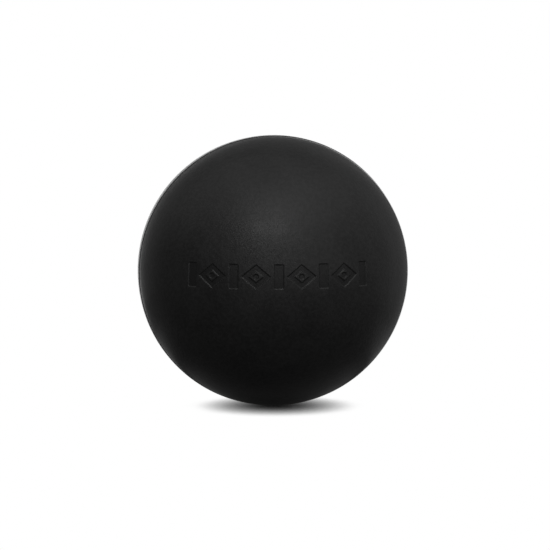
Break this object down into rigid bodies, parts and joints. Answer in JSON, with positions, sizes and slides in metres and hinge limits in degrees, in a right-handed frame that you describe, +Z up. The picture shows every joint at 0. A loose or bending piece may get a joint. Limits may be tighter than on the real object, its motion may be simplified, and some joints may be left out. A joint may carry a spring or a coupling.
{
  "type": "lacrosse ball",
  "caption": "Black rubber lacrosse ball: a dense core bonded inside two cover halves that meet at a parting line, with a recessed band of plain figures on the front.",
  "frame": {"origin": "centre of the ball", "axes": "+Z up; +Y along the axis through both moulded poles, square to the parting plane Y = 0, from the front with its recessed band to the rear; +X to the right as seen from the front"},
  "size_m": [0.0636, 0.0636, 0.0636],
  "materials": {
    "cover_rubber": "matte",
    "core_rubber": "matte"
  },
  "bodies": {
    "root": {"core": "core_rubber", "front_cover": "cover_rubber", "rear_cover": "cover_rubber"}
  },
  "joints": []
}
